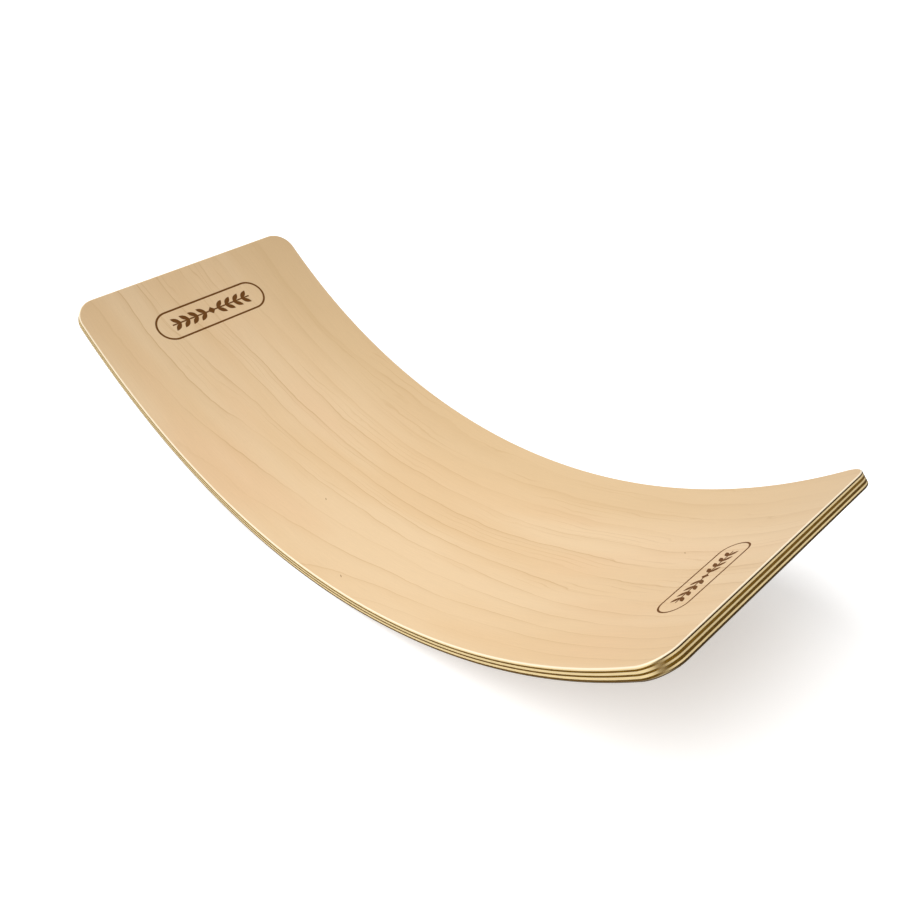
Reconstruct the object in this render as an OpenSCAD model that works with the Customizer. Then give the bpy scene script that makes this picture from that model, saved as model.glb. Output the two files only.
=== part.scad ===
// Curved balance board of moulded plywood, in millimetres.
// Origin: the middle of the line on which the underside touches the floor.
// X runs along the board, Y across it and Z up. The board is an arc of a circle about an
// axis parallel to Y, and it is built up from the underside as veneers and glue films.

/* [Board] */
// Overall length, from end to end over the lower edges
board_l = 822; // [650:1:1000]
// Width across the board
board_w = 300; // [200:1:400]
// Radius of the underside, on which the board rocks
rock_r = 608; // [550:1:900]
// Radius of the four corners, seen square to the board
corner_r = 25; // [10:1:60]

/* [Layup] */
// Thickness of the face veneer, which is stood on
face_veneer_t = 2; // [1:0.1:3]
// Thickness of the back veneer, which rocks on the floor
back_veneer_t = 2; // [1:0.1:3]
// Thickness of each inner veneer whose grain runs along the board
long_ply_t = 2; // [1:0.1:3]
// Thickness of each inner veneer whose grain runs across the board
cross_ply_t = 1.4; // [0.8:0.1:2.5]
// Thickness of each cured glue film
glue_t = 0.1; // [0.05:0.01:0.3]

/* [Hidden] */
$fn = 180;

// Outer radius of each layer, from the underside inwards
back_r = rock_r;
film_6_r = back_r - back_veneer_t;
lower_cross_r = film_6_r - glue_t;
film_5_r = lower_cross_r - cross_ply_t;
lower_long_r = film_5_r - glue_t;
film_4_r = lower_long_r - long_ply_t;
centre_cross_r = film_4_r - glue_t;
film_3_r = centre_cross_r - cross_ply_t;
upper_long_r = film_3_r - glue_t;
film_2_r = upper_long_r - long_ply_t;
upper_cross_r = film_2_r - glue_t;
film_1_r = upper_cross_r - cross_ply_t;
face_r = film_1_r - glue_t;

// Half the angle of the arc, to the lower edge of an end
end_angle = asin(board_l / 2 / rock_r);
// Angle of the two corner centres at an end: the end is cut square to the board there
corner_angle = end_angle - asin(corner_r / rock_r);
// How far the uncut blank runs past each end, and past each side
blank_margin_angle = 3;
blank_margin = 5;

along_grain_colour = [0.89, 0.77, 0.59];
across_grain_colour = [0.63, 0.49, 0.31];
glue_colour = [0.34, 0.24, 0.13];

// One layer of the uncut blank, curved about the axis at the centre of the arc
module blank_layer(outer_r, thickness) {
    sweep = 2 * (end_angle + blank_margin_angle);
    blank_w = board_w + 2 * blank_margin;
    translate([0, 0, rock_r])
        rotate([90, 0, 0])
            rotate_extrude(angle = sweep, start = 270 - sweep / 2)
                translate([outer_r - thickness, -blank_w / 2])
                    square([thickness, blank_w]);
}

// The outline that the +X end is cut to, as a solid that reaches past the board's other end.
// It is square to the board at the corner centres, which lie on its own Z axis.
module end_outline() {
    centre_y = board_w / 2 - corner_r;
    reach = 2 * rock_r;
    translate([0, 0, rock_r])
        rotate([0, -corner_angle, 0])
            translate([0, 0, -reach]) {
                translate([-reach, -board_w / 2, 0])
                    cube([reach, board_w, 2 * reach]);
                translate([0, -centre_y, 0])
                    cube([corner_r, 2 * centre_y, 2 * reach]);
                for (side = [-1, 1])
                    translate([0, side * centre_y, 0])
                        cylinder(r = corner_r, h = 2 * reach);
            }
}

// One finished layer of the board
module layer(outer_r, thickness) {
    intersection() {
        blank_layer(outer_r, thickness);
        end_outline();
        mirror([1, 0, 0])
            end_outline();
    }
}

module glue_film(outer_r) {
    color(glue_colour)
        layer(outer_r, glue_t);
}

module cross_ply(outer_r) {
    color(across_grain_colour)
        layer(outer_r, cross_ply_t);
}

module long_ply(outer_r) {
    color(along_grain_colour)
        layer(outer_r, long_ply_t);
}

module face_veneer() {
    color(along_grain_colour)
        layer(face_r, face_veneer_t);
}

module back_veneer() {
    color(along_grain_colour)
        layer(back_r, back_veneer_t);
}

face_veneer();
glue_film(film_1_r);  // glue_film_1
cross_ply(upper_cross_r);  // upper_cross_ply
glue_film(film_2_r);  // glue_film_2
long_ply(upper_long_r);  // upper_long_ply
glue_film(film_3_r);  // glue_film_3
cross_ply(centre_cross_r);  // centre_cross_ply
glue_film(film_4_r);  // glue_film_4
long_ply(lower_long_r);  // lower_long_ply
glue_film(film_5_r);  // glue_film_5
cross_ply(lower_cross_r);  // lower_cross_ply
glue_film(film_6_r);  // glue_film_6
back_veneer();
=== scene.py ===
import math
import bmesh
import bpy
from mathutils import Matrix, Vector


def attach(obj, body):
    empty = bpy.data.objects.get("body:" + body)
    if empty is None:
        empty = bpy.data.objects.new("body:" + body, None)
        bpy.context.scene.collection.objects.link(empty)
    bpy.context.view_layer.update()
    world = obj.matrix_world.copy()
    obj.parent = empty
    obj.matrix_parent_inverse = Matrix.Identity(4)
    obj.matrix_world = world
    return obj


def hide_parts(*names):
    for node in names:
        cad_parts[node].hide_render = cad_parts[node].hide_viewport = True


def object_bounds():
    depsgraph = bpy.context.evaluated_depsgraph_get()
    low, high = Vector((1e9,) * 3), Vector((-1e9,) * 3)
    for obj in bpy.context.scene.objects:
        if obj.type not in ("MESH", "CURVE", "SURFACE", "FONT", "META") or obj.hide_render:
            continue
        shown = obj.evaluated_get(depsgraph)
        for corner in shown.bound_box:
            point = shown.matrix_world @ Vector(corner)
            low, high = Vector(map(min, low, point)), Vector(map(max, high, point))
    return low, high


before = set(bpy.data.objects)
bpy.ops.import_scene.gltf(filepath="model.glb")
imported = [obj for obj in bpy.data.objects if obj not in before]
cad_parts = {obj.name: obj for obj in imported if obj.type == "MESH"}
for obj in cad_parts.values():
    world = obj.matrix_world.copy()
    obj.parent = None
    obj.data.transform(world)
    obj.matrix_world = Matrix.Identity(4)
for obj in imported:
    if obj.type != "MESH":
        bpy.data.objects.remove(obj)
cadLow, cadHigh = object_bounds()
tiny = 1e-5  # metres; places nearer than this are the same


# The board's shape comes from the frame: the underside is one arc that starts at the origin,
# so the height of its end edge gives the radius.
def measureBoard():
    underside = [vert.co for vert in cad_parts["back_veneer"].data.vertices]
    endEdge = [co for co in underside if co.x > cadHigh.x - tiny]
    endHeight = sum(co.z for co in endEdge) / len(endEdge)
    rockRadius = (cadHigh.x ** 2 + endHeight ** 2) / (2 * endHeight)
    cornerRadius = cadHigh.y - max(abs(co.y) for co in endEdge)
    cornerAngle = math.asin(cadHigh.x / rockRadius) - math.asin(cornerRadius / rockRadius)
    return {
        "rockRadius": rockRadius,
        "halfWidth": cadHigh.y,
        "cornerRadius": cornerRadius,
        "cornerAngle": cornerAngle,  # from the middle to the corner centres
    }


def layerRadii(node):  # inner and outer radius of a layer about the board's axis
    reach = [math.hypot(vert.co.x, board["rockRadius"] - vert.co.z)
             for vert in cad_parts[node].data.vertices]
    return min(reach), max(reach)


board = measureBoard()
topRadius = layerRadii("face_veneer")[0]
thickness = board["rockRadius"] - topRadius
straightHalf = board["cornerAngle"] * topRadius  # along the top face, middle to corner centres
halfLength = straightHalf + board["cornerRadius"]
print("board measured:", {key: round(value, 4) for key, value in board.items()})


# Each layer starts as a flat blank, is cut to its outline and sanded, and is bent last.
layerMesh = {
    "cornerSegments": 14,
    "bendCuts": 150,   # cuts across the board, so that the bend is smooth
    "endCuts": 5,      # more of them beyond the corner centres
    "lengthCuts": 11,  # cuts along the board
    "sharpAngle": 35,  # degrees; edges sharper than this stay crisp
}


# flat.x is the arc along the top face, flat.y the place across and -flat.z the radius
def bentPlace(flat):
    radius = -flat.z
    past = abs(flat.x) - straightHalf
    if past <= 0:
        angle = flat.x / topRadius
        along, drop = radius * math.sin(angle), radius * math.cos(angle)
        return Vector((along, flat.y, board["rockRadius"] - drop))
    # beyond the corner centres the outline is cut square to the board as it lies there
    reach = math.sqrt(radius ** 2 - past ** 2)
    angle = board["cornerAngle"]
    along = reach * math.sin(angle) + past * math.cos(angle)
    drop = reach * math.cos(angle) - past * math.sin(angle)
    return Vector((math.copysign(along, flat.x), flat.y, board["rockRadius"] - drop))


def cutThrough(mesh, normal, places):
    for place in places:
        bmesh.ops.bisect_plane(mesh, geom=mesh.verts[:] + mesh.edges[:] + mesh.faces[:],
                               dist=tiny, plane_co=normal * place, plane_no=normal)


def spread(count, reach):  # evenly spaced places between -reach and reach
    return [reach * (2 * step / (count + 1) - 1) for step in range(1, count + 1)]


sanding = {
    "topArris": 0.0015,   # radius of the rounding along the top edge
    "sideUnder": 0.0028,  # along the lower edge of the sides, where it runs through two layers
    "endUnder": 0.0012,   # and along the lower edge of the ends
    "steps": 6,
}


# depths below the top face at which the two roundings get a row of points
def sandedLevels():
    turns = [math.pi / 2 * step / sanding["steps"] for step in range(1, sanding["steps"] + 1)]
    return ([sanding["topArris"] * (1 - math.cos(turn)) for turn in turns]
            + [thickness - sanding["sideUnder"] * (1 - math.cos(turn)) for turn in turns])


def sandedOff(depth, underArris):  # how far the edge is sanded back at this depth
    past, radius = sanding["topArris"] - depth, sanding["topArris"]
    if depth > thickness / 2:
        past, radius = depth - (thickness - underArris), underArris
    return radius - math.sqrt(max(radius ** 2 - max(past, 0) ** 2, 0))


def heldWithin(value, reach):
    return max(-reach, min(value, reach))


def sandEdge(mesh):  # draws everything beyond the corner centres in, more towards the faces
    coreX, coreY = straightHalf, board["halfWidth"] - board["cornerRadius"]
    for vert in mesh.verts:
        core = Vector((heldWithin(vert.co.x, coreX), heldWithin(vert.co.y, coreY), vert.co.z))
        beyond = vert.co - core
        if beyond.length < tiny:
            continue
        toEnd = (beyond.x / beyond.length) ** 2
        underArris = sanding["sideUnder"] + (sanding["endUnder"] - sanding["sideUnder"]) * toEnd
        off = sandedOff(-vert.co.z - topRadius, underArris)
        vert.co = core + beyond * (1 - off / board["cornerRadius"])


def makeLayer(name, node, material, inset=0.0):
    inner, outer = layerRadii(node)
    mesh = bmesh.new()
    bmesh.ops.create_cube(mesh, size=1)
    bmesh.ops.scale(mesh, verts=mesh.verts,
                    vec=(2 * (halfLength - inset), 2 * (board["halfWidth"] - inset), outer - inner))
    bmesh.ops.translate(mesh, verts=mesh.verts, vec=(0, 0, -(inner + outer) / 2))
    uprights = [edge for edge in mesh.edges if abs(edge.verts[0].co.z - edge.verts[1].co.z) > tiny]
    bmesh.ops.bevel(mesh, geom=uprights, offset=board["cornerRadius"] - inset, offset_type="OFFSET",
                    segments=layerMesh["cornerSegments"], profile=0.5, affect="EDGES", material=-1)
    levels = [depth for depth in sandedLevels() if inner + tiny < topRadius + depth < outer - tiny]
    cutThrough(mesh, Vector((0, 0, -1)), [topRadius + depth for depth in levels])
    cutThrough(mesh, Vector((1, 0, 0)), spread(layerMesh["bendCuts"], straightHalf))
    for step in range(layerMesh["endCuts"]):
        turn = math.pi / 2 * step / layerMesh["endCuts"]
        past = straightHalf + board["cornerRadius"] * math.sin(turn)
        cutThrough(mesh, Vector((1, 0, 0)), (-past, past))
    cutThrough(mesh, Vector((0, 1, 0)), spread(layerMesh["lengthCuts"], board["halfWidth"]))
    sandEdge(mesh)
    # along, across and depth before bending, which the grain is drawn by
    flat = mesh.verts.layers.float_vector.new("flat")
    for vert in mesh.verts:
        vert[flat] = (vert.co.x, vert.co.y, -vert.co.z - topRadius)
        vert.co = bentPlace(vert.co)
    mesh.normal_update()
    for face in mesh.faces:
        face.smooth = True
    for edge in mesh.edges:
        edge.smooth = edge.calc_face_angle(0) < math.radians(layerMesh["sharpAngle"])
    data = bpy.data.meshes.new(name)
    mesh.to_mesh(data)
    mesh.free()
    data.materials.append(material)
    piece = bpy.data.objects.new(name, data)
    bpy.context.scene.collection.objects.link(piece)
    shading = piece.modifiers.new("evenShading", "WEIGHTED_NORMAL")  # keeps the flat faces flat
    shading.keep_sharp = True
    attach(piece, "root")
    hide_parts(node)
    return piece


# Short ways to write shader nodes.
def addNode(tree, kind, inputs=None, **settings):
    node = tree.nodes.new(kind)
    for key, value in settings.items():
        setattr(node, key, value)
    for key, value in (inputs or {}).items():
        setInput(tree, node.inputs[key], value)
    return node


def setInput(tree, socket, value):
    if isinstance(value, bpy.types.NodeSocket):
        tree.links.new(value, socket)
    else:
        socket.default_value = value


def calc(tree, operation, *values):
    return addNode(tree, "ShaderNodeMath", dict(enumerate(values)), operation=operation).outputs[0]


def total(tree, first, *others):
    for other in others:
        first = calc(tree, "ADD", first, other)
    return first


def product(tree, first, *others):
    for other in others:
        first = calc(tree, "MULTIPLY", first, other)
    return first


def less(tree, first, second):
    return calc(tree, "SUBTRACT", first, second)


def ratio(tree, first, second):
    return calc(tree, "DIVIDE", first, second)


def greater(tree, first, second):
    return calc(tree, "MAXIMUM", first, second)


def fade(tree, value, start, end):  # 0 at start, 1 at end, smooth between
    node = addNode(tree, "ShaderNodeMapRange",
                   {"Value": value, "From Min": start, "From Max": end},
                   interpolation_type="SMOOTHSTEP")
    return node.outputs["Result"]


def blend(tree, share, first, second):  # of two colours
    node = addNode(tree, "ShaderNodeMix", data_type="RGBA")
    for index, value in ((0, share), (6, first), (7, second)):
        setInput(tree, node.inputs[index], value)
    return node.outputs[2]


def shade(tree, colour, amount):  # darker below 1, lighter above
    inputs = {0: colour, "Scale": amount}
    return addNode(tree, "ShaderNodeVectorMath", inputs, operation="SCALE").outputs[0]


def joinAxes(tree, *values):
    return addNode(tree, "ShaderNodeCombineXYZ", dict(enumerate(values))).outputs[0]


def splitAxes(tree, vector):
    return addNode(tree, "ShaderNodeSeparateXYZ", {0: vector}).outputs


def alike(tree, first, second):  # how far two directions agree, whichever way they point
    node = addNode(tree, "ShaderNodeVectorMath", {0: first, 1: second}, operation="DOT_PRODUCT")
    return calc(tree, "ABSOLUTE", node.outputs["Value"])


def flatPlace(tree):  # along, across and depth on the board before it was bent
    place = addNode(tree, "ShaderNodeAttribute", attribute_type="GEOMETRY", attribute_name="flat")
    return splitAxes(tree, place.outputs["Vector"])


def newGroup(name, inputs, outputs):
    tree = bpy.data.node_groups.new(name, "ShaderNodeTree")

    def newSocket(label, way):
        return tree.interface.new_socket(name=label, in_out=way, socket_type="NodeSocketFloat")

    for label, default in inputs.items():
        newSocket(label, "INPUT").default_value = default
    for label in outputs:
        newSocket(label, "OUTPUT")
    return tree, tree.nodes.new("NodeGroupInput").outputs, tree.nodes.new("NodeGroupOutput").inputs


def placeGroup(tree, group, values):
    return addNode(tree, "ShaderNodeGroup", values, node_tree=group).outputs


def newMaterial(name):
    material = bpy.data.materials.new(name)
    material.use_nodes = True
    material.node_tree.nodes.clear()
    return material, material.node_tree


def finishMaterial(tree, inputs, clearWhere=None):  # clearWhere is 1 where it's seen through
    surface = addNode(tree, "ShaderNodeBsdfPrincipled", inputs).outputs[0]
    if clearWhere is not None:
        clear = addNode(tree, "ShaderNodeBsdfTransparent").outputs[0]
        parts = {0: clearWhere, 1: surface, 2: clear}
        surface = addNode(tree, "ShaderNodeMixShader", parts).outputs[0]
    addNode(tree, "ShaderNodeOutputMaterial", {0: surface})


def screenLight(part):  # the standard screen curve, from 0 to 1
    return part / 12.92 if part <= 0.04045 else ((part + 0.055) / 1.055) ** 2.4


def screenColour(red, green, blue):  # from 0 to 255 on a screen to a light value
    return tuple(screenLight(part / 255) for part in (red, green, blue)) + (1.0,)


# The figure of peeled veneer. A peeled sheet cuts the growth rings nearly flat, so a ring shows
# as a long line that closes in a pointed arch where the sheet touches it: the heart. Sizes are
# in metres. A pair is where something starts to show and where it is whole.
figure = {
    "arch": 0.020,            # how far the lines bow over half the board
    "archReach": 0.42,
    "heart": -0.168,          # place across the board of the heart
    "heartWidth": 0.042,
    "tipSpacing": 0.15,       # between the arches' tips, along the board
    "spacing": 0.0175,        # between strong lines beside the heart
    "widening": 0.8,          # how much wider they lie farther off
    "depthSpacing": 0.004,    # between lines through the board
    "seedShift": 7.31,        # sets the veneers' patterns apart
    "crispReach": 0.19,       # from the heart; farther off the lines are soft
    "crispFade": 0.08,
    "crispLoss": 0.75,
    "crispRise": (0.925, 0.972),  # places within a ring from 0 to 1, here and for the next two
    "crispFall": (1.0, 0.985),
    "softFall": (1.0, 0.97),
    "softPower": 4.0,
    "softShare": 0.42,
    "strongWhere": (0.32, 0.66),  # values of its noise; lines come and go along the board
    "weakest": 0.22,
    "calmAway": (0.03, 0.10),  # lines are fainter close to the heart
    "calmest": 0.4,
    "threadCount": 4.0,       # fine threads to a ring
    "threadSwing": 1.6,
    "threadRise": (0.74, 0.93),
    "threadFall": (1.0, 0.95),
    "threadWhere": (0.46, 0.68),
    "threadAway": (0.09, 0.14),
    "sapwoodSwing": 0.06,
    "sapwoodWhere": (0.04, 0.13),
    "fibreRoughness": 0.62,
}

# Each noise has a size along the grain, one across it and one through the board, then its
# detail and a shift that keeps it unlike the others.
figureNoise = {
    "wander": (0.42, 0.13, 0.5, 1.0, 3.7),
    "waver": (0.075, 0.055, 0.2, 1.0, 9.2),
    "tremble": (0.024, 0.03, 0.1, 1.0, 12.9),
    "jitter": (0.009, 0.012, 0.1, 2.0, 17.3),
    "strength": (0.20, 0.03, 0.3, 1.0, 21.4),
    "thread": (0.1, 0.012, 0.1, 1.0, 31.5),
    "fibre": (0.030, 0.0011, 0.0012, 4.0, 40.1),
    "threadPatch": (0.16, 0.022, 0.2, 1.0, 44.4),
    "tone": (0.30, 0.060, 0.05, 2.0, 55.8),
    "blush": (0.24, 0.10, 0.05, 1.0, 66.6),
    "pore": (0.0034, 0.0004, 0.0004, 1.0, 71.3),
    "patch": (0.010, 0.010, 0.006, 2.0, 83.9),
    "sapwood": (0.5, 0.2, 0.5, 1.0, 91.7),
}
ringSwings = {"wander": 2.2, "waver": 0.34, "tremble": 0.10, "jitter": 0.05}  # in rings


def makeFigureGroup():
    tree, given, out = newGroup(
        "veneerFigure", {"Across": 0.0, "Seed": 0.0, "Spacing": figure["spacing"]},
        ("Line", "Thread", "Fibre", "Tone", "Blush", "Pore", "Patch", "Sapwood"))
    along, across, depth = flatPlace(tree)
    turn = given["Across"]  # 0 where the grain runs along the board, 1 where it runs across
    straight = less(tree, 1.0, turn)
    withGrain = total(tree, product(tree, along, straight), product(tree, across, turn))
    sideways = total(tree, product(tree, across, straight), product(tree, along, turn))
    offset = product(tree, given["Seed"], figure["seedShift"])

    def noise(name, roughness=0.5):
        length, width, deep, detail, shift = figureNoise[name]
        place = joinAxes(
            tree,
            total(tree, ratio(tree, withGrain, length), offset),
            total(tree, ratio(tree, sideways, width), shift),
            ratio(tree, depth, deep),
        )
        inputs = {"Vector": place, "Scale": 1.0, "Detail": detail, "Roughness": roughness}
        return addNode(tree, "ShaderNodeTexNoise", inputs, noise_dimensions="3D").outputs["Fac"]

    def swing(name, amount):  # a noise about nought
        return product(tree, less(tree, noise(name), 0.5), amount)

    def risen(value, where, least):  # never under its least
        return total(tree, product(tree, fade(tree, value, *where), 1 - least), least)

    bow = ratio(tree, withGrain, figure["archReach"])
    bowed = total(tree, sideways, product(tree, bow, bow, figure["arch"]))
    fromHeart = less(tree, bowed, figure["heart"])
    heartSquare = figure["heartWidth"] ** 2
    awaySquare = total(tree, product(tree, fromHeart, fromHeart), heartSquare)
    nearHeart = ratio(tree, heartSquare, awaySquare)
    away = calc(tree, "SQRT", awaySquare)
    widened = product(tree, away, less(tree, 1.0, product(tree, away, figure["widening"])))
    tips = product(tree, ratio(tree, withGrain, -figure["tipSpacing"]), nearHeart)
    growth = total(
        tree, ratio(tree, widened, given["Spacing"]), tips,
        *(swing(name, amount) for name, amount in ringSwings.items()),
        ratio(tree, depth, figure["depthSpacing"]),
    )

    ring = calc(tree, "FRACT", growth)
    far = fade(tree, away, figure["crispReach"], figure["crispReach"] + figure["crispFade"])
    crisp = product(tree, fade(tree, ring, *figure["crispRise"]),
                    fade(tree, ring, *figure["crispFall"]),
                    less(tree, 1.0, product(tree, far, figure["crispLoss"])))
    softSide = product(tree, calc(tree, "POWER", ring, figure["softPower"]),
                       fade(tree, ring, *figure["softFall"]), figure["softShare"])
    strength = risen(noise("strength"), figure["strongWhere"], figure["weakest"])
    calm = risen(away, figure["calmAway"], figure["calmest"])
    setInput(tree, out["Line"], product(tree, greater(tree, crisp, softSide), strength, calm))

    threads = total(tree, product(tree, growth, figure["threadCount"]),
                    swing("thread", figure["threadSwing"]))
    thread = calc(tree, "FRACT", threads)
    threadLine = product(tree, fade(tree, thread, *figure["threadRise"]),
                         fade(tree, thread, *figure["threadFall"]))
    threadPatch = product(tree, fade(tree, noise("threadPatch"), *figure["threadWhere"]),
                          fade(tree, away, *figure["threadAway"]))
    setInput(tree, out["Thread"], product(tree, threadLine, threadPatch))

    setInput(tree, out["Fibre"], noise("fibre", figure["fibreRoughness"]))
    for name in ("tone", "blush", "pore", "patch"):
        setInput(tree, out[name.capitalize()], noise(name))
    sapwood = total(tree, bowed, swing("sapwood", figure["sapwoodSwing"]))
    setInput(tree, out["Sapwood"], fade(tree, sapwood, *figure["sapwoodWhere"]))
    return tree


# Which faces cut the fibres square, which lie on the board's edge and which on its arrises.
# Each pair is from where a face doesn't count to where it does, 1 being squarely.
edgeGrain = {
    "slantLoss": 0.6,  # a sanded arris cuts the fibres at a slant; it is kept out of the end grain so its painted highlight and shade show
    "endGrain": (0.30, 0.86),
    "edge": (0.75, 0.35),
    "arrisFromEdge": (0.20, 0.50),
    "arrisFromFace": (0.995, 0.93),
}


def makeEdgeGroup():
    tree, given, out = newGroup("edgeGrain", {"Across": 0.0}, ("End Grain", "Edge", "Arris"))
    x, y, z = splitAxes(tree, addNode(tree, "ShaderNodeTexCoord").outputs["Object"])
    angle = calc(tree, "ARCTAN2", x, less(tree, board["rockRadius"], z))
    cosine, sine = calc(tree, "COSINE", angle), calc(tree, "SINE", angle)
    facing = addNode(tree, "ShaderNodeNewGeometry").outputs["Normal"]
    lengthways = alike(tree, facing, joinAxes(tree, cosine, 0.0, sine))
    through = alike(tree, facing, joinAxes(tree, sine, 0.0, product(tree, cosine, -1.0)))
    sideways = calc(tree, "ABSOLUTE", splitAxes(tree, facing)[1])
    turn = given["Across"]
    cut = total(tree, product(tree, lengthways, less(tree, 1.0, turn)),
                product(tree, sideways, turn))
    square = less(tree, cut, product(tree, through, edgeGrain["slantLoss"]))
    setInput(tree, out["End Grain"], fade(tree, square, *edgeGrain["endGrain"]))
    setInput(tree, out["Edge"], fade(tree, through, *edgeGrain["edge"]))
    setInput(tree, out["Arris"], product(tree, fade(tree, through, *edgeGrain["arrisFromEdge"]),
                                         fade(tree, through, *edgeGrain["arrisFromFace"])))
    return tree


# The burnt-in ornament is a leafy sprig in a slim frame with round ends. It is drawn 1 long.
sprig = {
    "frameLine": 0.0084,    # half the width of the frame's line
    "stemReach": 0.37,
    "stemLine": 0.0066,
    "leafStart": 0.052,
    "leafPitch": 0.080,
    "leafCount": 4,
    "leafTurn": 40,         # degrees from the stem
    "leafLength": 0.092,
    "leafWidth": 0.038,
    "bud": 0.034,
    "softness": 0.0016,
    "depth": (0.0008, 0.0006),  # metres below the top face, where it ends
}


def makeSprigGroup():
    tree, given, out = newGroup(
        "burntSprig", {"Centre Along": 0.0, "Centre Across": 0.0, "Length": 1.0, "Height": 1.0},
        ("Mark",))
    along, across, depth = flatPlace(tree)
    u = ratio(tree, less(tree, across, given["Centre Across"]), given["Length"])
    v = ratio(tree, less(tree, along, given["Centre Along"]), given["Length"])
    halfHeight = ratio(tree, product(tree, given["Height"], 0.5), given["Length"])
    u, v = calc(tree, "ABSOLUTE", u), calc(tree, "ABSOLUTE", v)

    def inside(distance, reach=0.0):  # 1 where the distance is under the reach
        return fade(tree, distance, reach + sprig["softness"], reach - sprig["softness"])

    pastCore = greater(tree, less(tree, u, less(tree, 0.5, halfHeight)), 0.0)
    fromCore = calc(tree, "SQRT",
                    total(tree, product(tree, pastCore, pastCore), product(tree, v, v)))
    frameLine = inside(calc(tree, "ABSOLUTE", less(tree, fromCore, halfHeight)),
                       sprig["frameLine"])
    stem = product(tree, inside(v, sprig["stemLine"]), inside(u, sprig["stemReach"]))

    # pairs of leaves point away from the middle
    start = less(tree, u, sprig["leafStart"])
    pair = calc(tree, "FLOOR", ratio(tree, start, sprig["leafPitch"]))
    fromPair = less(tree, start, product(tree, pair, sprig["leafPitch"]))
    leafTurn = math.radians(sprig["leafTurn"])
    cosine, sine = math.cos(leafTurn), math.sin(leafTurn)
    leafAlong = total(tree, product(tree, fromPair, cosine), product(tree, v, sine))
    leafAside = less(tree, product(tree, v, cosine), product(tree, fromPair, sine))
    halfLeaf = sprig["leafLength"] / 2
    fromLeafMiddle = ratio(tree, less(tree, leafAlong, halfLeaf), halfLeaf)
    bulge = product(tree, less(tree, 1.0, product(tree, fromLeafMiddle, fromLeafMiddle)),
                    sprig["leafWidth"] / 2)
    leaf = inside(less(tree, calc(tree, "ABSOLUTE", leafAside), bulge))
    firstPair = calc(tree, "GREATER_THAN", pair, -0.5)
    lastPair = calc(tree, "LESS_THAN", pair, sprig["leafCount"] - 0.5)
    leaves = product(tree, leaf, firstPair, lastPair)

    whole = inside(total(tree, u, v), sprig["bud"])
    for part in (frameLine, stem, leaves):
        whole = greater(tree, whole, part)
    setInput(tree, out["Mark"], product(tree, whole, fade(tree, depth, *sprig["depth"])))
    return tree


fleck = {"slant": 0.5, "edge": (0.55, 0.3), "dark": 0.7}


def makeFleckGroup():  # a pin knot: a small dark dash in the face
    tree, given, out = newGroup(
        "pinFleck", {"Centre Along": 0.0, "Centre Across": 0.0, "Length": 1.0, "Width": 1.0},
        ("Mark",))
    along, across, depth = flatPlace(tree)
    fromAlong = less(tree, along, given["Centre Along"])
    fromAcross = total(tree, less(tree, across, given["Centre Across"]),
                       product(tree, fromAlong, fleck["slant"]))
    u = ratio(tree, fromAlong, given["Length"])
    v = ratio(tree, fromAcross, given["Width"])
    distance = calc(tree, "SQRT", total(tree, product(tree, u, u), product(tree, v, v)))
    setInput(tree, out["Mark"], product(tree, fade(tree, distance, *fleck["edge"]), fleck["dark"]))
    return tree


figureGroup = makeFigureGroup()
edgeGroup = makeEdgeGroup()
sprigGroup = makeSprigGroup()
fleckGroup = makeFleckGroup()
print("shared wood effects made")

# The finish of every veneer. A share is how strongly an effect shows, 1 being fully.
veneer = {
    "pale": screenColour(224, 195, 155),
    "warm": screenColour(219, 186, 142),
    "warmWhere": (0.36, 0.66),
    "warmShare": 0.72,
    "blush": screenColour(224, 186, 146),
    "blushWhere": (0.5, 0.78),
    "blushShare": 0.36,
    "sapwood": screenColour(213, 182, 138),
    "sapwoodShare": 0.75,
    "line": screenColour(179, 139, 85),
    "lineShare": 0.47,
    "threadShare": 0.25,
    "fibreShare": 0.13,
    "poreShare": 0.06,
    "grainLeast": 0.905,    # how light the wood is where its fibres are darkest
    "sideGrain": screenColour(243, 219, 162),
    "sideShare": 0.8,
    "sideLeast": 0.89,
    "sidePatch": 0.22,
    "endGrain": screenColour(128, 96, 28),
    "endPore": screenColour(78, 46, 6),
    "endPoreWhere": (0.40, 0.66),
    "endLeast": 0.65,
    "endPatch": 0.7,
    "arrisPaintedHighlight": screenColour(242, 227, 201),  # painted highlight along the top arris
    "arrisPaintedShade": screenColour(60, 42, 18),     # painted shade along the lower arris
    "arrisShare": 0.85,
    "burnt": screenColour(96, 53, 0),
    "burntShare": 0.96,
    "burntDepth": 0.0002,
    "fibreHeight": 0.00004,
    "bump": 0.5,
    "roughness": 0.5,
    "roughnessSwing": 0.1,
    "sheen": 0.06,
    "lacquer": 0.6,
    "lacquerRoughness": 0.28,
    "endDull": 0.95,        # how much lacquer is lost on end grain, and on the board's edge
    "edgeDull": 0.7,
}

ornaments = [  # middle along and across the board, then length and height, in metres
    {"Centre Along": -0.3753, "Centre Across": -0.0035, "Length": 0.147, "Height": 0.038},
    {"Centre Along": 0.3864, "Centre Across": -0.022, "Length": 0.107, "Height": 0.028},
]

pinFlecks = [
    {"Centre Along": 0.0374, "Centre Across": -0.1338, "Length": 0.0045, "Width": 0.0012},
    {"Centre Along": -0.0685, "Centre Across": -0.0676, "Length": 0.0036, "Width": 0.0012},
    {"Centre Along": 0.3321, "Centre Across": 0.0229, "Length": 0.0028, "Width": 0.0014},
]


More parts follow.
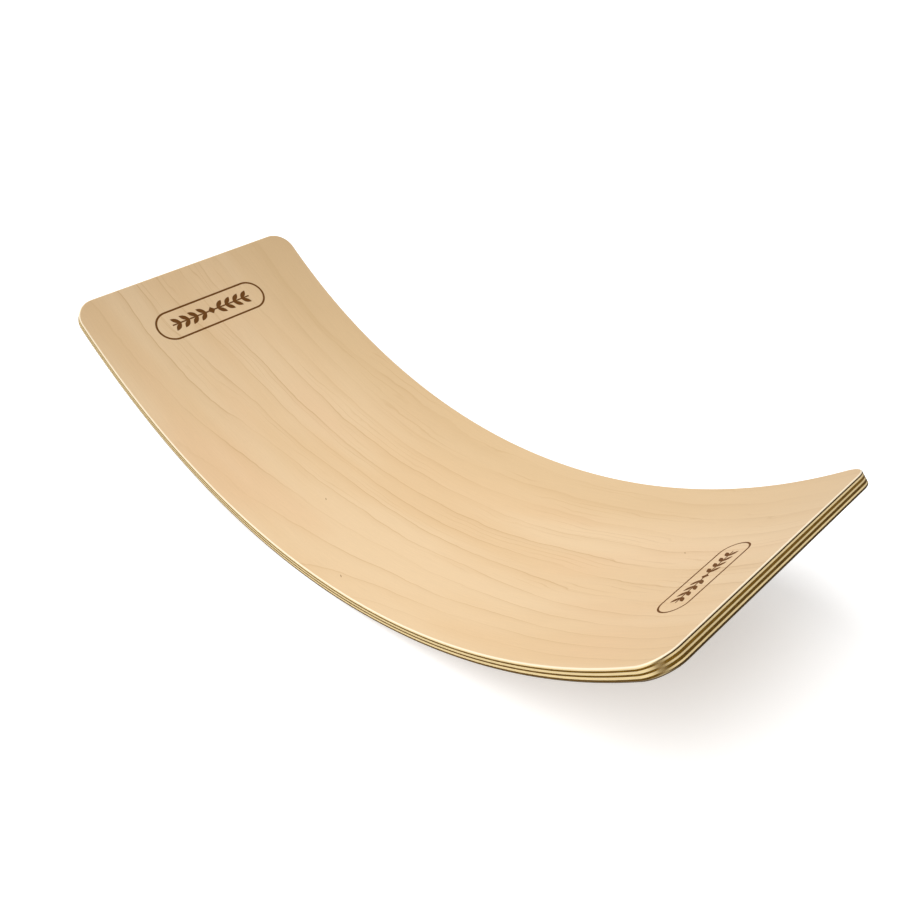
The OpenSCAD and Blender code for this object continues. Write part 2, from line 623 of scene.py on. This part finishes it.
def sideColour(tree, wood, edge, tone):  # all but the ends of the fibres
    def part(effect, share):
        return product(tree, effect, veneer[share])

    warm = fade(tree, wood["Tone"], *veneer["warmWhere"])
    colour = blend(tree, part(warm, "warmShare"), veneer["pale"], veneer["warm"])
    blush = fade(tree, wood["Blush"], *veneer["blushWhere"])
    colour = blend(tree, part(blush, "blushShare"), colour, veneer["blush"])
    colour = blend(tree, part(wood["Sapwood"], "sapwoodShare"), colour, veneer["sapwood"])
    colour = blend(tree, part(wood["Line"], "lineShare"), colour, veneer["line"])
    colour = blend(tree, part(wood["Thread"], "threadShare"), colour, veneer["line"])
    light = total(tree, product(tree, wood["Patch"], veneer["sidePatch"] * tone),
                  veneer["sideLeast"] * tone)
    sideGrain = shade(tree, veneer["sideGrain"][:3], light)
    colour = blend(tree, part(edge["Edge"], "sideShare"), colour, sideGrain)
    grain = total(tree, part(wood["Fibre"], "fibreShare"), part(wood["Pore"], "poreShare"),
                  veneer["grainLeast"])
    return shade(tree, colour, grain)


def endColour(tree, wood, tone):  # the fibres' ends drink the lacquer and turn dark
    pore = fade(tree, wood["Pore"], *veneer["endPoreWhere"])
    light = total(tree, product(tree, wood["Patch"], veneer["endPatch"] * tone),
                  veneer["endLeast"] * tone)
    return shade(tree, blend(tree, pore, veneer["endGrain"], veneer["endPore"]), light)


def burntPlaces(tree):  # 1 in the ornaments, less in the flecks
    marks = ([placeGroup(tree, sprigGroup, place)["Mark"] for place in ornaments]
             + [placeGroup(tree, fleckGroup, place)["Mark"] for place in pinFlecks])
    burnt = marks[0]
    for mark in marks[1:]:
        burnt = greater(tree, burnt, mark)
    return burnt


def makeVeneerMaterial(name, across, seed, endTone, sideTone, arris, isFace):
    material, tree = newMaterial(name)
    wood = placeGroup(tree, figureGroup, {"Across": across, "Seed": seed})
    edge = placeGroup(tree, edgeGroup, {"Across": across})
    colour = blend(tree, edge["End Grain"], sideColour(tree, wood, edge, sideTone),
                   endColour(tree, wood, endTone))
    # the arris colour paints a highlight on the face veneer's top arris and shade on the back
    # veneer's lower arris
    if arris:
        colour = blend(tree, product(tree, edge["Arris"], veneer["arrisShare"]), colour,
                       veneer[arris])
    dull = greater(tree, product(tree, edge["End Grain"], veneer["endDull"]),
                   product(tree, edge["Edge"], veneer["edgeDull"]))
    height = product(tree, wood["Fibre"], veneer["fibreHeight"])
    if isFace:
        burnt = burntPlaces(tree)
        colour = blend(tree, product(tree, burnt, veneer["burntShare"]), colour, veneer["burnt"])
        dull = greater(tree, dull, burnt)
        height = total(tree, height, product(tree, burnt, -veneer["burntDepth"]))
    bump = addNode(tree, "ShaderNodeBump",
                   {"Height": height, "Strength": veneer["bump"], "Distance": 1.0})
    roughness = total(tree, product(tree, wood["Fibre"], veneer["roughnessSwing"]),
                      veneer["roughness"] - veneer["roughnessSwing"] / 2)
    finishMaterial(tree, {
        "Base Color": colour,
        "Roughness": roughness,
        "Specular IOR Level": veneer["sheen"],
        "Coat Weight": product(tree, less(tree, 1.0, dull), veneer["lacquer"]),
        "Coat Roughness": veneer["lacquerRoughness"],
        "Normal": bump.outputs[0],
    })
    return material


# The seven veneers: piece, CAD node, material slot, 1 where the grain runs across the board, and
# how light its end grain and side grain are.
veneers = [
    ("faceVeneer", "face_veneer", "face_wood", 0, 0.36, 1.0),
    ("upperCrossPly", "upper_cross_ply", "cross_grain_wood", 1, 1.05, 1.0),
    ("upperLongPly", "upper_long_ply", "long_grain_wood", 0, 1.10, 1.0),
    ("centreCrossPly", "centre_cross_ply", "cross_grain_wood", 1, 0.95, 0.88),
    ("lowerLongPly", "lower_long_ply", "long_grain_wood", 0, 0.78, 1.04),
    ("lowerCrossPly", "lower_cross_ply", "cross_grain_wood", 1, 0.80, 1.0),
    ("backVeneer", "back_veneer", "face_wood", 0, 0.42, 0.86),
]
# painted highlight on the top arris, painted shade on the lower arris
arrises = {"faceVeneer": "arrisPaintedHighlight", "backVeneer": "arrisPaintedShade"}

for number, (name, node, slotName, across, endTone, sideTone) in enumerate(veneers, 1):
    wood = makeVeneerMaterial(name + "Wood", across, float(number), endTone, sideTone,
                              arris=arrises.get(name), isFace=name == "faceVeneer")
    makeLayer(name, node, wood)
print("veneers made:", len(veneers))


# Six films of cured glue lie between them.
glue = {
    "count": 6,
    "inset": 0.00006,  # metres; sanding leaves the glue a little lower than the wood
    "dark": screenColour(60, 42, 20),
    "light": screenColour(104, 78, 42),
    "patch": 90.0,     # patches to a metre
    "detail": 3.0,
    "roughness": 0.4,
    "roughnessSwing": 0.2,
}


def makeGlueMaterial():
    material, tree = newMaterial("curedGlue")
    inputs = {
        "Vector": addNode(tree, "ShaderNodeTexCoord").outputs["Object"],
        "Scale": glue["patch"],
        "Detail": glue["detail"],
    }
    patches = addNode(tree, "ShaderNodeTexNoise", inputs).outputs["Fac"]
    swing = product(tree, patches, glue["roughnessSwing"])
    finishMaterial(tree, {
        "Base Color": blend(tree, patches, glue["dark"], glue["light"]),
        "Roughness": total(tree, swing, glue["roughness"]),
    })
    return material


glueMaterial = makeGlueMaterial()
for number in range(1, glue["count"] + 1):
    makeLayer(f"glueFilm{number}", f"glue_film_{number}", glueMaterial,
              inset=glue["inset"])
print("glue films made:", glue["count"])


stage = {
    "floorSize": 24.0,
    "floorCells": 4,
    "floorSeen": 0.92,    # how light the floor looks
    "floorBounce": 0.38,  # how much of the light it throws back
    "floorRoughness": 0.95,
    "glowSeen": 0.34,     # keeps the shadow faint
    "glowCast": 0.09,     # keeps the underside out of the dark
}


def seenOrNot(tree, seen, look, effect):  # one value to the eye and another to the light
    return total(tree, product(tree, seen, look - effect), effect)


def makeFloor():  # white from above, clear from below, and it throws little light at the board
    mesh = bmesh.new()
    bmesh.ops.create_grid(mesh, x_segments=stage["floorCells"], y_segments=stage["floorCells"],
                          size=stage["floorSize"] / 2)
    data = bpy.data.meshes.new("floor")
    mesh.to_mesh(data)
    mesh.free()
    floor = bpy.data.objects.new("floor", data)
    bpy.context.scene.collection.objects.link(floor)
    material, tree = newMaterial("paleFloor")
    seen = addNode(tree, "ShaderNodeLightPath").outputs["Is Camera Ray"]
    fromBelow = addNode(tree, "ShaderNodeNewGeometry").outputs["Backfacing"]
    tone = seenOrNot(tree, seen, stage["floorSeen"], stage["floorBounce"])
    finishMaterial(tree, {
        "Base Color": joinAxes(tree, tone, tone, tone),
        "Roughness": stage["floorRoughness"],
        "Specular IOR Level": 0.0,
        "Emission Color": (1.0, 1.0, 1.0, 1.0),
        "Emission Strength": seenOrNot(tree, seen, stage["glowSeen"], stage["glowCast"]),
    }, clearWhere=product(tree, seen, fromBelow))
    data.materials.append(material)


studioLight = {
    "keyFrom": (-0.33, -0.66, 1.0),  # direction towards the key light
    "keyStrength": 2.66,
    "keySpread": 70,                 # degrees; wider gives softer shadows
    "sky": 0.52,
    "backdrop": 1.1,                 # the sky as seen beyond the floor
}


def makeLights():
    data = bpy.data.lights.new("keyLight", "SUN")
    data.energy = studioLight["keyStrength"]
    data.angle = math.radians(studioLight["keySpread"])
    key = bpy.data.objects.new("keyLight", data)
    towards = Vector(studioLight["keyFrom"])
    key.location = towards * 2
    key.rotation_euler = towards.to_track_quat("Z", "Y").to_euler()
    bpy.context.scene.collection.objects.link(key)
    world = bpy.data.worlds.new("softSky")
    world.use_nodes = True
    tree = world.node_tree
    seen = addNode(tree, "ShaderNodeLightPath").outputs["Is Camera Ray"]
    sky = tree.nodes["Background"].inputs
    setInput(tree, sky["Color"], (1.0, 1.0, 1.0, 1.0))
    setInput(tree, sky["Strength"],
             seenOrNot(tree, seen, studioLight["backdrop"], studioLight["sky"]))
    bpy.context.scene.world = world


viewpoint = {
    "azimuth": 46.32,  # degrees, here and for the next two
    "elevation": 34.77,
    "roll": -2.71,
    "distance": 0.9167,
    "target": (0.0791, -0.0067, 0.1042),
    "lens": 37.12,     # millimetres
    "sensor": 36,
}


def makeCamera():
    turn, lift = math.radians(viewpoint["azimuth"]), math.radians(viewpoint["elevation"])
    level = math.cos(lift)
    back = Vector((math.sin(turn) * level, -math.cos(turn) * level, math.sin(lift)))
    right = Vector((math.cos(turn), math.sin(turn), 0))
    facing = Matrix((right, back.cross(right), back)).transposed()
    rolled = facing @ Matrix.Rotation(math.radians(viewpoint["roll"]), 3, "Z")
    data = bpy.data.cameras.new("camera")
    data.lens = viewpoint["lens"]
    data.sensor_width = viewpoint["sensor"]
    camera = bpy.data.objects.new("camera", data)
    place = Vector(viewpoint["target"]) + back * viewpoint["distance"]
    camera.matrix_world = Matrix.Translation(place) @ rolled.to_4x4()
    bpy.context.scene.collection.objects.link(camera)
    bpy.context.scene.camera = camera


makeFloor()
makeLights()
makeCamera()
bpy.context.scene.view_settings.view_transform = "Standard"
print("stage, light and camera set")
